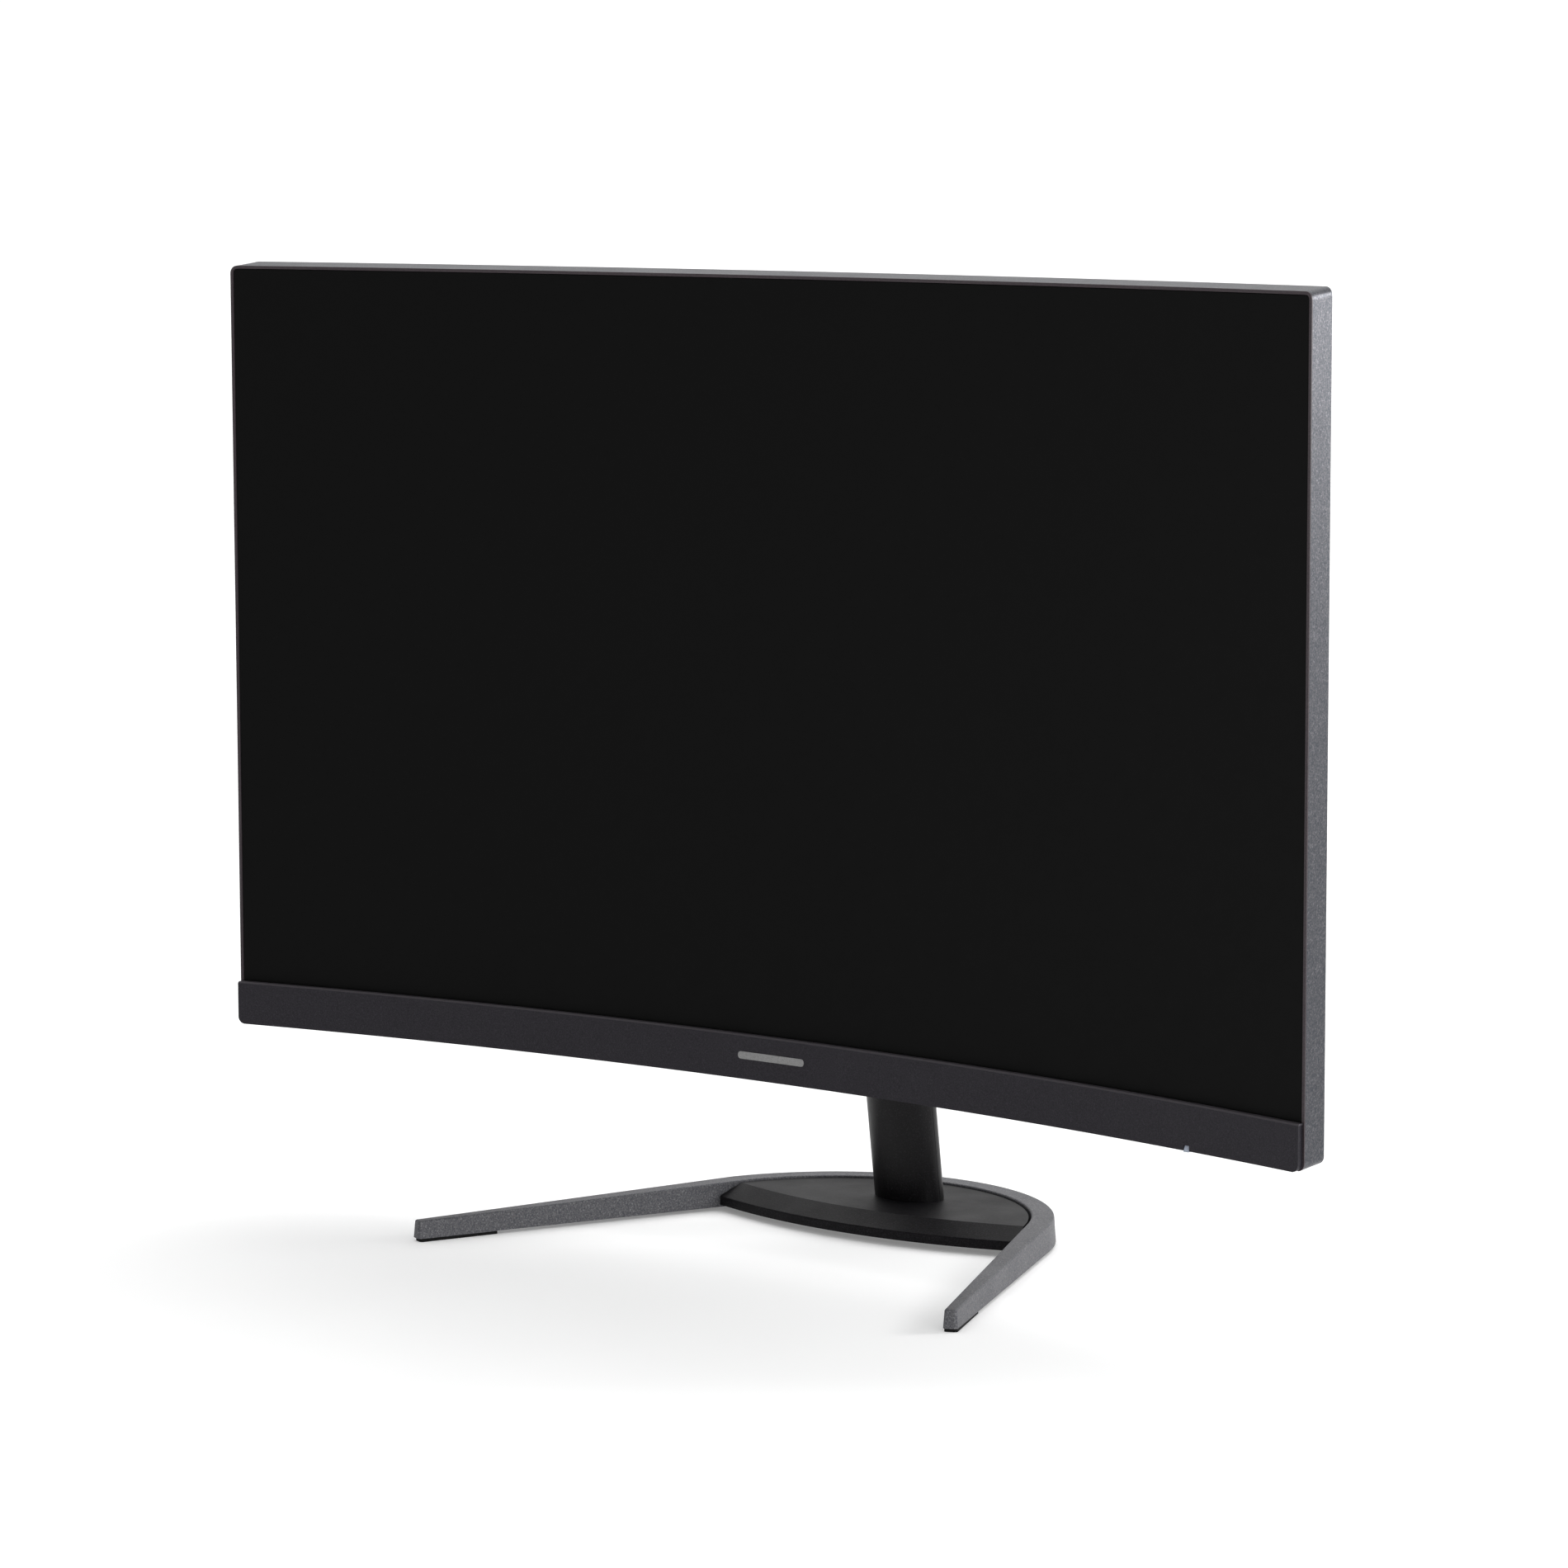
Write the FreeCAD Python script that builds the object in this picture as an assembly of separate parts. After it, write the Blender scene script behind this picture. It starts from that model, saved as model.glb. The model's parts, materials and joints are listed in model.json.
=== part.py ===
import FreeCAD, Part
import math
import os

# Curved desktop monitor on a low ring-and-leg stand. Millimetres, +Z up, the screen faces -Y.
# The origin is on the desk, at the centre of the footprint. One STEP file per sub-part.

V = FreeCAD.Vector
X_AXIS = V(1, 0, 0)
Y_AXIS = V(0, 1, 0)
Z_AXIS = V(0, 0, 1)

# ---------------------------------------------------------------- driving dimensions: the panel
SCREEN_R = 1500.0        # radius of the screen's curve, concave towards the viewer
SCREEN_Y = -35.2         # front of the screen at its middle
PANEL_HALF = 304.65      # half the panel's outside width
PANEL_BOTTOM = 81.2
PANEL_TOP = 445.2
SIDE_DEPTH = 14.9        # depth of the side frame behind the screen's surface
TOP_RISE = 1.6           # the top face rises this much towards the rear
BOTTOM_RISE = 1.0
CORNER_R = 3.5
FRAME_WALL = 1.5
LIP_DEPTH = 0.7          # the dark lip in front of the side frame
LIP_WIDTH = 1.5
CHIN_HEIGHT = 20.5
CHIN_PROUD = 3.3         # the chin stands this far in front of the lip
CHIN_INSET = 1.0         # the chin is this much narrower than the frame on each side
GAP = 0.2                # assembly gap between neighbouring fixed pieces

# ---------------------------------------------------------------- driving dimensions: the rear
RIM_FRONT = 12.8         # depth at which the rear cover's rim starts, inside the side frame
RIM_BACK = 15.2          # depth at which the rear cover starts to slope
COVER_DEPTH = 23.0       # depth of the thin part of the rear cover
COVER_WALL = 2.2
BULGE_DEPTH = 50.0       # depth of the flat back of the middle bulge
BULGE_HALF = 128.0       # half-width of the flat back
BULGE_LOW = 146.0
BULGE_HIGH = 344.0
BULGE_EDGE_R = 6.0       # rounding round the flat back
BULGE_FLARE = 37.0       # how much wider the bulge is where it meets the thin part
SEAM_MARGIN = 40.0       # from the flat back to the seam between the two covers, sideways
SEAM_MARGIN_Z = 24.0
SEAM_GAP = 0.3
BACK_Y = SCREEN_Y + BULGE_DEPTH
VESA_PITCH = 75.0
VESA_Z = 244.0
VESA_HOLE_R = 2.0        # M4
PORT_LOW = 160.0         # the recess for the video plugs
PORT_HIGH = 184.0
PORT_LEFT = 36.0
PORT_RIGHT = 118.0
PORT_FLOOR_Y = SCREEN_Y + 36.5
POWER_LEFT = -118.0      # the recess for the power plug
POWER_RIGHT = -92.0

# ---------------------------------------------------------------- driving dimensions: the stand
PAD_HEIGHT = 1.6
RING_CENTRE_Y = 7.5      # centre of the ring's concentric arcs
RING_OUTER_R = 101.5
RING_INNER_R = 91.0
RING_TOP = 13.3
TIP_TOP = 9.8            # the legs fall from the ring's height to this
TIP_X = 153.35
TIP_Y = -108.55
LEG_OUTER_ANGLE = 21.9   # degrees from the fore-and-aft direction
LEG_INNER_ANGLE = 23.8
EDGE_SOFT = 0.9          # rounding of the ring's and legs' upper edges
DRAFT = 0.8              # how far the outline spreads from top to bottom
PLATE_TOP = 12.3
PLATE_GAP = 0.5          # the seam between the plate and the ring
PLATE_BOTTOM = 2.8
FACET_TOP = 7.0          # top of the plate's upright front face
BOW_CENTRE_Y = 274.8     # the plate's front edge bows forward about this centre
BOW_EDGE_R = 258.0
BOW_CREASE_R = 246.5
PLATE_EDGE_R = 0.5       # rounding of the front facet's edges
PLATE_WALL = 2.2
LUG_BOTTOM = 7.0         # the ring's three inside lugs carry the steel weight
WEIGHT_LOW = LUG_BOTTOM - 3.0
BAIL_Z = 1.75            # the thumb screw's folding bail lies just clear of the desk
BAIL_WIRE_R = 0.65

# ---------------------------------------------------------------- driving dimensions: the neck
NECK_Y = 65.3            # centre of the neck at the plate
NECK_LEAN = 7.8          # degrees, towards the viewer
NECK_A = 18.1            # half-width
NECK_B = 12.2            # half-depth
NECK_WALL = 2.0
HINGE_Z = 225.0
HINGE_Y = NECK_Y - (HINGE_Z - PLATE_TOP) * math.tan(math.radians(NECK_LEAN))
BARREL_R = 14.5
BARREL_HALF = 18.25      # half-width of the barrel at the neck's top
SHAFT_R = 4.0
SHAFT_CLEARANCE = 0.05
EAR_IN = 20.0            # the display bracket's ears, each side of the neck
EAR_OUT = 23.0
EAR_R = 11.5

# ---------------------------------------------------------------- driving dimensions: the menu key
KEY_X = 238.0            # behind the power light, near the right-hand corner
KEY_Z = 112.0
KEY_PIVOT_DEPTH = 14.2
KEY_HOLE_R = 8.2
PIN_R = 0.6
PIN_CLEARANCE = 0.05


# ================================================================ helpers
def save(name, shape):
    """Writes one node as a STEP file in parts/."""
    shape.exportStep("parts/" + name + ".step")


def box(x0, x1, y0, y1, z0, z1):
    return Part.makeBox(x1 - x0, y1 - y0, z1 - z0, V(x0, y0, z0))


def rod(radius, start, end):
    """A cylinder from one point to another."""
    return Part.makeCylinder(radius, (end - start).Length, start, end - start)


def join(shapes):
    """Fuses solids that belong to one piece."""
    return shapes[0].multiFuse(shapes[1:]).removeSplitter()


def group(shapes):
    """Separate solids that share a node, such as identical fasteners."""
    return Part.makeCompound(shapes)


def mirror_x(shape):
    return shape.mirror(V(0, 0, 0), X_AXIS)


def curve_y(depth, x):
    """Y of the panel's curved surface, at a depth behind the screen."""
    return SCREEN_Y - SCREEN_R + math.sqrt((SCREEN_R + depth) ** 2 - x ** 2)


def curve_arc(depth, half_width):
    """The panel's curve seen from above, from one side to the other."""
    end_y = curve_y(depth, half_width)
    middle = V(0, SCREEN_Y + depth, 0)
    return Part.Arc(V(-half_width, end_y, 0), middle, V(half_width, end_y, 0)).toShape()


def line(start, end):
    return Part.makeLine(start, end)


def face_of(edges):
    return Part.Face(Part.Wire(Part.sortEdges(edges)[0]))


def curved_slab(front, back, half_width, bottom, top):
    """A sheet that follows the panel's curve, with upright sides parallel to Y."""
    ends = []
    for side in (-half_width, half_width):
        ends.append(line(V(side, curve_y(front, side), 0), V(side, curve_y(back, side), 0)))
    face = face_of([curve_arc(front, half_width), curve_arc(back, half_width)] + ends)
    slab = face.extrude(V(0, 0, top - bottom))
    slab.translate(V(0, 0, bottom))
    return slab


def curved_profile(points):
    """Sweeps a (depth, height) outline round the centre of the panel's curve."""
    centre = V(0, SCREEN_Y - SCREEN_R, 0)
    half_angle = math.degrees(math.asin((PANEL_HALF + 10) / SCREEN_R))
    corners = [V(0, SCREEN_Y + depth, z) for depth, z in points]
    face = Part.Face(Part.makePolygon(corners + corners[:1]))
    face.rotate(centre, Z_AXIS, -half_angle)
    return face.revolve(centre, Z_AXIS, 2 * half_angle)


def upright_block(half_width, bottom, top, radius):
    """A long block along Y with rounded corners, seen from the front."""
    block = box(-half_width, half_width, SCREEN_Y - 90, SCREEN_Y + 90, bottom, top)
    if radius > 0:
        block = block.makeFillet(radius, edges_along(block, Y_AXIS))
    return block


def top_edges(shape, above):
    """The edges round a shape's upper faces, above a height."""
    found = []
    for face in shape.Faces:
        middle = face.CenterOfMass
        u, v = face.Surface.parameter(middle)
        if middle.z > above and face.normalAt(u, v).z > 0.95:
            found += face.OuterWire.Edges
    return [e for e in found if sum(e.isSame(other) for other in found) == 1]


def edges_along(shape, direction):
    """The straight edges that run along a direction."""
    found = []
    for edge in shape.Edges:
        if len(edge.Vertexes) != 2:
            continue
        span = edge.Vertexes[1].Point - edge.Vertexes[0].Point
        if span.Length > 0 and abs(span.normalize().dot(direction)) > 0.9999:
            found.append(edge)
    return found


def frame_block(inset, front, back):
    """The panel's outside shape, drawn in by an inset, between two depths."""
    def height(base, rise, depth):
        return base + rise * depth / SIDE_DEPTH
    low = PANEL_BOTTOM + inset
    high = PANEL_TOP - inset
    near, far = -4.0, SIDE_DEPTH + 4.0
    outline = [(near, height(low, BOTTOM_RISE, near)), (far, height(low, BOTTOM_RISE, far)),
               (far, height(high, TOP_RISE, far)), (near, height(high, TOP_RISE, near))]
    half = PANEL_HALF - inset
    block = curved_profile(outline).common(box(-half, half, -150, 150, 0, 500))
    corners = []
    for edge in block.Edges:
        ends = [v.Point for v in edge.Vertexes]
        at_side = all(abs(abs(p.x) - half) < 0.01 for p in ends)
        if len(ends) == 2 and at_side and abs(ends[0].y - ends[1].y) > 0.9 * (far - near):
            corners.append(edge)
    block = block.makeFillet(max(CORNER_R - inset, 1.0), corners)
    return block.common(curved_slab(front, back, half + 5, 0, 500))


def rounded_wire(half_width, bottom, top, radius, y):
    """A rounded rectangle in an upright plane that faces Y."""
    x0, x1, z0, z1 = -half_width, half_width, bottom, top
    k = radius * (1 - math.sqrt(0.5))
    corners = [
        (V(x1 - radius, y, z0), V(x1 - k, y, z0 + k), V(x1, y, z0 + radius)),
        (V(x1, y, z1 - radius), V(x1 - k, y, z1 - k), V(x1 - radius, y, z1)),
        (V(x0 + radius, y, z1), V(x0 + k, y, z1 - k), V(x0, y, z1 - radius)),
        (V(x0, y, z0 + radius), V(x0 + k, y, z0 + k), V(x0 + radius, y, z0)),
    ]
    edges = []
    for i, (start, middle, end) in enumerate(corners):
        edges.append(Part.Arc(start, middle, end).toShape())
        edges.append(line(end, corners[(i + 1) % 4][0]))
    return Part.Wire(edges)


def hex_rod(across, start, end):
    """A hexagonal prism from one point to another along X."""
    radius = across / math.sqrt(3)
    corners = []
    for i in range(7):
        a = math.radians(60 * i)
        corners.append(V(start.x, start.y + radius * math.cos(a), start.z + radius * math.sin(a)))
    return Part.Face(Part.makePolygon(corners)).extrude(end - start)


def pan_screw(x, y, z, length, radius, head_radius, head_height):
    """A screw along Y: its head behind the face at y, its shank in front of it."""
    shank = rod(radius, V(x, y - length, z), V(x, y + 0.1, z))
    head = rod(head_radius, V(x, y, z), V(x, y + head_height, z))
    head = head.makeFillet(head_height * 0.45, [head.Edges[0]])
    slot = box(x - head_radius * 0.6, x + head_radius * 0.6, y + head_height * 0.45,
               y + head_height + 1, z - 0.4, z + 0.4)
    cross = box(x - 0.4, x + 0.4, y + head_height * 0.45, y + head_height + 1,
                z - head_radius * 0.6, z + head_radius * 0.6)
    return join([shank, head]).cut(slot).cut(cross)


# ================================================================ the display: frame and panel
def make_side_frame():
    """The metal-look band round the panel's edge."""
    outer = frame_block(0, LIP_DEPTH, SIDE_DEPTH)
    inner = frame_block(FRAME_WALL, LIP_DEPTH - 0.5, SIDE_DEPTH + 0.5)
    save("side_frame", outer.cut(inner))


def make_screen_lip():
    """The thin dark lip between the glass and the side frame."""
    outer = frame_block(0, 0, LIP_DEPTH)
    opening = upright_block(PANEL_HALF - LIP_WIDTH, PANEL_BOTTOM + LIP_WIDTH,
                            PANEL_TOP - LIP_WIDTH + 0.1, CORNER_R - LIP_WIDTH)
    save("screen_lip", outer.cut(opening))


def make_chin_bezel():
    """The bottom bezel, proud of the screen, with a notch for the power light."""
    half = PANEL_HALF - CHIN_INSET
    top = PANEL_BOTTOM + CHIN_HEIGHT
    front = -CHIN_PROUD
    edge = 0.7
    profile = [(front, PANEL_BOTTOM), (0, PANEL_BOTTOM), (0, top), (front + edge, top),
               (front, top - edge)]
    body = curved_profile(profile).common(upright_block(half, PANEL_BOTTOM, top + 30, CORNER_R))
    rib = curved_slab(-0.1, 1.6, PANEL_HALF - 12, PANEL_BOTTOM + 2.0, GLASS_BOTTOM - 0.6)
    light_y = curve_y(-CHIN_PROUD, LIGHT_X)
    notch = box(LIGHT_X - 1.5, LIGHT_X + 1.5, light_y - 1, light_y + 3.0,
                PANEL_BOTTOM - 1, PANEL_BOTTOM + 2.4)
    save("chin_bezel", join([body, rib]).cut(notch))


def make_chin_badge():
    """A blank raised bar at the middle of the chin."""
    half_length = 19.0
    half_height = 1.7
    low = PANEL_BOTTOM + 9.3
    bar = box(-half_length, half_length, SCREEN_Y - 10, SCREEN_Y, low, low + 2 * half_height)
    bar = bar.makeFillet(half_height - 0.05, edges_along(bar, Y_AXIS))
    skin = curved_slab(-CHIN_PROUD - 0.25, -CHIN_PROUD, half_length + 1, low - 1, low + 9)
    save("chin_badge", bar.common(skin))


def make_led_light_pipe():
    """The clear power light, a small slanted wedge in the chin's lower edge."""
    y = curve_y(-CHIN_PROUD, LIGHT_X)
    low = PANEL_BOTTOM - 0.4
    outline = [V(0, y - 0.3, low), V(0, y + 2.8, low), V(0, y + 2.8, low + 2.6), V(0, y + 0.9, low + 2.6)]
    wedge = Part.Face(Part.makePolygon(outline + outline[:1])).extrude(V(2.6, 0, 0))
    wedge.translate(V(LIGHT_X - 1.3, 0, 0))
    save("led_light_pipe", wedge)


def make_panel_layers():
    """The glass, the films, the light guide and the reflector, front to back."""
    half = PANEL_HALF - LIP_WIDTH - GAP
    glass = curved_slab(0.25, 1.65, half, GLASS_BOTTOM, GLASS_TOP)
    save("lcd_glass", glass.common(upright_block(half, GLASS_BOTTOM, GLASS_TOP, CORNER_R - LIP_WIDTH)))
    inner = PANEL_HALF - 4.9
    low = PANEL_BOTTOM + 8.2
    high = PANEL_TOP - 4.8
    save("optical_films", curved_slab(2.35, 3.05, inner, low, high + 0.4))
    save("light_guide_plate", curved_slab(3.15, 6.15, inner, low, high))
    save("reflector_sheet", curved_slab(6.25, 6.55, inner, low, high))
    save("led_bar", curved_slab(3.2, 6.1, inner - 3, low - 2.4, low - 0.3))


def make_panel_mid_frame():
    """The plastic rail that carries the glass in front and the metal tray behind."""
    half = PANEL_HALF - FRAME_WALL - 0.15
    low = PANEL_BOTTOM + 2.8
    high = PANEL_TOP - 1.8
    outer = curved_slab(1.75, 12.5, half, low, high)
    pocket = curved_slab(2.15, 14, PANEL_HALF - 3.4, low + 1.8, high - 1.4)
    window = curved_slab(0, 14, PANEL_HALF - 5.6, low + 9.3, high - 3.4)
    rail = outer.cut(pocket).cut(window)
    for side in (-1, 1):
        for z in (low, high):
            corner = box(-1.3, 1.3, -120, 0, -1.3, 1.3)
            corner.rotate(V(0, 0, 0), Y_AXIS, 45)
            corner.translate(V(side * half, 0, z))
            rail = rail.cut(corner)
    save("panel_mid_frame", rail)


def make_panel_back_tray():
    """The pressed steel tray behind the light guide, with two strips welded across its back."""
    wall = 0.8
    low = PANEL_BOTTOM + 4.8
    high = PANEL_TOP - 3.4
    outer = curved_slab(2.3, 7.5, PANEL_HALF - 3.6, low, high)
    inside = curved_slab(2.0, 7.5 - wall, PANEL_HALF - 3.7 - wall, low + wall, high - wall)
    strips = []
    for z in (low + 36, high - 40):
        strips.append(curved_slab(7.5, 8.6, 250, z - 5, z + 5))
    save("panel_back_tray", group([outer.cut(inside)] + strips))


def make_panel_boards():
    """The long driver board under the screen, and the timing board above the middle."""
    low = PANEL_BOTTOM + 7.6
    board = curved_slab(7.8, 8.8, 160, low, low + 12)
    chips = []
    for i in range(8):
        x = -140 + 40 * i
        y = curve_y(8.7, x)
        chips.append(box(x - 6, x + 6, y - 0.3, y + 1.1, low + 3.5, low + 8.5))
    save("source_driver_board", join([board] + chips))
    y = SCREEN_Y + 9.4
    z = TIMING_Z
    timing = box(-45, 45, y, y + 1.2, z - 15, z + 15)
    feet = []
    for x in (-40, 40):
        feet.append(rod(2.0, V(x, curve_y(7.5, 37) + 0.02, z), V(x, y + 0.1, z)))
    chip = box(-8, 8, y + 1.1, y + 2.3, z - 8, z + 8)
    save("timing_controller_board", join([timing, chip] + feet))


# ================================================================ the display: rear half
def rear_shell(inset, front):
    """The rear cover's outside shape, drawn in by a wall."""
    rim = PANEL_HALF - FRAME_WALL - 0.15 - inset
    low = PANEL_BOTTOM + FRAME_WALL + BOTTOM_RISE + GAP + inset
    high = PANEL_TOP - GAP - inset
    slope_x = 262.0 - 0.3 * inset
    slope_z = 30.0 + 0.3 * inset
    back = COVER_DEPTH - inset
    rim_back = RIM_BACK - 0.3 * inset
    outline = [curve_arc(front, rim), curve_arc(back, slope_x)]
    for side in (-1, 1):
        front_end = V(side * rim, curve_y(front, rim), 0)
        rim_end = V(side * rim, curve_y(rim_back, rim), 0)
        back_end = V(side * slope_x, curve_y(back, slope_x), 0)
        outline += [line(front_end, rim_end), line(rim_end, back_end)]
    plan = face_of(outline).extrude(V(0, 0, 500))
    profile = curved_profile([(front, low), (rim_back, low), (back, low + slope_z),
                              (back, high - slope_z), (rim_back, high), (front, high)])
    thin = plan.common(profile).common(upright_block(rim, low, high, max(3.0 - inset, 1.0)))
    flare = BULGE_FLARE
    mouth = rounded_wire(BULGE_HALF + flare - inset, BULGE_LOW - flare * 0.7 + inset,
                         BULGE_HIGH + flare * 0.7 - inset, 40 - inset, SCREEN_Y + 10 - 4 * inset)
    flat = rounded_wire(BULGE_HALF - inset, BULGE_LOW + inset, BULGE_HIGH - inset, 24 - inset,
                        BACK_Y - inset)
    bulge = Part.makeLoft([mouth, flat], True, True)
    rim = [e for e in bulge.Edges if all(abs(p.Point.y - BACK_Y + inset) < 0.01 for p in e.Vertexes)]
    bulge = bulge.makeFillet(BULGE_EDGE_R - inset, rim)
    return thin, bulge


def recess(x0, x1, grow):
    """A plug recess in the flat back, or the block that its walls are cut from."""
    floor = PORT_FLOOR_Y - (1.0 if grow == 0 else 0.0)
    return box(x0 - grow, x1 + grow, floor, BACK_Y + 1 - 1.5 * grow / COVER_WALL,
               PORT_LOW - grow, PORT_HIGH + grow)


def key_place(shape):
    """Moves a shape from the menu key's own frame, +Y out of the back, to its place."""
    angle = math.degrees(math.asin(KEY_X / (SCREEN_R + KEY_PIVOT_DEPTH)))
    shape.rotate(V(0, 0, 0), Z_AXIS, -angle)
    shape.translate(V(KEY_X, curve_y(KEY_PIVOT_DEPTH, KEY_X), KEY_Z))
    return shape


def vent_slots():
    """The rows of slots that let warm air out of the bulge's upper and lower slopes."""
    slots = []
    for i in range(-14, 15):
        for z in (BULGE_HIGH + 3, BULGE_LOW - 13):
            slots.append(box(7.5 * i - 1.6, 7.5 * i + 1.6, SCREEN_Y + 25.5, BACK_Y + 5, z, z + 10))
    return slots


def seam_block(grow):
    """The block that parts the middle cover from the thin cover round it."""
    return upright_block(BULGE_HALF + SEAM_MARGIN + grow, BULGE_LOW - SEAM_MARGIN_Z - grow,
                         BULGE_HIGH + SEAM_MARGIN_Z + grow, 38)


def make_rear_covers():
    """The thin curved back shell, and the bulging middle cover with its recesses, vents and holes."""
    outer_thin, outer_bulge = rear_shell(0, RIM_FRONT)
    inner_thin, inner_bulge = rear_shell(COVER_WALL, RIM_FRONT - 1)
    outer = join([outer_thin, outer_bulge.common(room_behind())])
    inner = join([inner_thin, inner_bulge.common(room_behind(COVER_WALL))])
    for x0, x1 in ((PORT_LEFT, PORT_RIGHT), (POWER_LEFT, POWER_RIGHT)):
        inner = inner.cut(recess(x0, x1, COVER_WALL))
    shell = outer.cut(inner)
    cuts = vent_slots()
    for x0, x1 in ((PORT_LEFT, PORT_RIGHT), (POWER_LEFT, POWER_RIGHT)):
        cuts.append(recess(x0, x1, 0))
    for x in (-VESA_PITCH / 2, VESA_PITCH / 2):
        for z in (VESA_Z - VESA_PITCH / 2, VESA_Z + VESA_PITCH / 2):
            cuts.append(rod(4.2, V(x, BACK_Y - 5, z), V(x, BACK_Y + 1, z)))
    for side in (-1, 1):
        x0, x1 = sorted((side * (EAR_IN - 0.5), side * (EAR_OUT + 0.5)))
        cuts.append(box(x0, x1, BACK_Y - 5, BACK_Y + 1, HINGE_Z - EAR_R - 0.5, HINGE_Z + EAR_R + 0.5))
    cuts.append(key_place(rod(KEY_HOLE_R, V(0, 2, 0), V(0, 14, 0))))
    dish = Part.makeCone(KEY_HOLE_R + 0.2, KEY_HOLE_R + 4.2, 2.0, V(0, 7.4, 0), Y_AXIS)
    cuts.append(key_place(dish))
    for x, z in COVER_SCREWS:
        y = curve_y(COVER_DEPTH, x)
        cuts.append(rod(1.7, V(x, y - 6, z), V(x, y + 3, z)))
        cuts.append(rod(3.4, V(x, y - 1.2, z), V(x, y + 3, z)))
    lock_x = -72.0
    cuts.append(box(lock_x - 3.5, lock_x + 3.5, BACK_Y - 5, BACK_Y + 1, PORT_LOW + 6, PORT_LOW + 9))
    for tool in cuts:
        shell = shell.cut(tool)
    save("rear_cover", shell.cut(seam_block(SEAM_GAP)))
    save("middle_cover", shell.common(seam_block(0)))


def room_behind(inset=0.0):
    """Everything behind the front of the rear cover's thin part."""
    return curved_slab(RIM_FRONT + 2 - inset, 120, 280, 60, 460)


def make_vesa_bracket():
    """The steel plate behind the back's flat, with four M4 bushes flush with the back."""
    plate = box(-52, 52, VESA_PLATE_Y - 2, VESA_PLATE_Y, VESA_Z - 50, VESA_Z + 50)
    pieces = [plate]
    holes = []
    for x in (-VESA_PITCH / 2, VESA_PITCH / 2):
        for z in (VESA_Z - VESA_PITCH / 2, VESA_Z + VESA_PITCH / 2):
            pieces.append(rod(4.0, V(x, VESA_PLATE_Y - 0.1, z), V(x, BACK_Y, z)))
            holes.append(rod(VESA_HOLE_R, V(x, VESA_PLATE_Y - 3, z), V(x, BACK_Y + 1, z)))
    for side in (-1, 1):
        edge = VESA_Z + side * 49
        pieces.append(box(-28, 28, CHASSIS_BACK_Y, VESA_PLATE_Y - 0.1, edge - 1, edge + 1))
    for x in (-12, 12):
        for z in (HINGE_Z - 6, HINGE_Z + 22):
            holes.append(rod(1.9, V(x, VESA_PLATE_Y - 3, z), V(x, VESA_PLATE_Y + 1, z)))
    bracket = join(pieces)
    for hole in holes:
        bracket = bracket.cut(hole)
    save("vesa_bracket", bracket)


def make_main_chassis():
    """The flat steel plate on the tray that carries the boards."""
    plate = box(-124, 124, CHASSIS_BACK_Y - 1.2, CHASSIS_BACK_Y, 158, 332)
    pieces = [plate]
    for x in (-110, 110):
        for z in (170, 320):
            pieces.append(rod(4.0, V(x, curve_y(7.5, 114) + 0.9, z), V(x, CHASSIS_BACK_Y - 1, z)))
    for x, z in BOARD_POSTS:
        pieces.append(rod(2.6, V(x, CHASSIS_BACK_Y - 0.1, z), V(x, BOARD_Y, z)))
    chassis = join(pieces)
    for x, z in BOARD_POSTS:
        chassis = chassis.cut(rod(1.2, V(x, CHASSIS_BACK_Y + 2, z), V(x, BOARD_Y + 1, z)))
    save("main_chassis", chassis)


def make_boards():
    """The main board behind the video sockets, and the power board behind the power socket."""
    main = box(32, 122, BOARD_Y, BOARD_Y + 1.6, 162, 262)
    power = box(-122, -62, BOARD_Y, BOARD_Y + 1.6, 162, 262)
    y = BOARD_Y + 1.5
    main_parts = [box(62, 86, y, y + 2.2, 214, 238), box(92, 102, y, y + 1.4, 220, 232),
                  box(40, 52, y, y + 3.0, 245, 251), box(40, 60, y, y + 4.0, 200, 206)]
    power_parts = [rod(5.0, V(-76, y, 214), V(-76, y + 13, 214)), rod(5.0, V(-90, y, 214), V(-90, y + 13, 214)),
                   box(-112, -100, y, y + 9, 206, 220), box(-116, -106, y, y + 4, 244, 254)]
    for name, board, extra in (("main_board", main, main_parts), ("power_board", power, power_parts)):
        shape = join([board] + extra)
        for x, z in BOARD_POSTS:
            shape = shape.cut(rod(1.5, V(x, BOARD_Y - 1, z), V(x, BOARD_Y + 3, z)))
        save(name, shape)
    screws = []
    for x, z in BOARD_POSTS:
        screws.append(pan_screw(x, BOARD_Y + 1.6, z, 4.6, 1.15, 2.6, 1.6))
    save("board_screws", group(screws))


def socket(x, width, height, mouth_width, mouth_height, floor):
    """A metal-shelled socket along Y, open at the back, with a tongue inside."""
    z = (PORT_LOW + PORT_HIGH) / 2
    shell = box(x - width / 2, x + width / 2, BOARD_Y + 1.6, PORT_FLOOR_Y + 0.4, z - height / 2, z + height / 2)
    mouth = box(x - mouth_width / 2, x + mouth_width / 2, floor, PORT_FLOOR_Y + 1,
                z - mouth_height / 2, z + mouth_height / 2)
    tongue = box(x - mouth_width * 0.38, x + mouth_width * 0.38, floor - 0.1, PORT_FLOOR_Y - 0.8,
                 z - 0.4, z + 0.4)
    return join([shell.cut(mouth), tongue])


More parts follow.
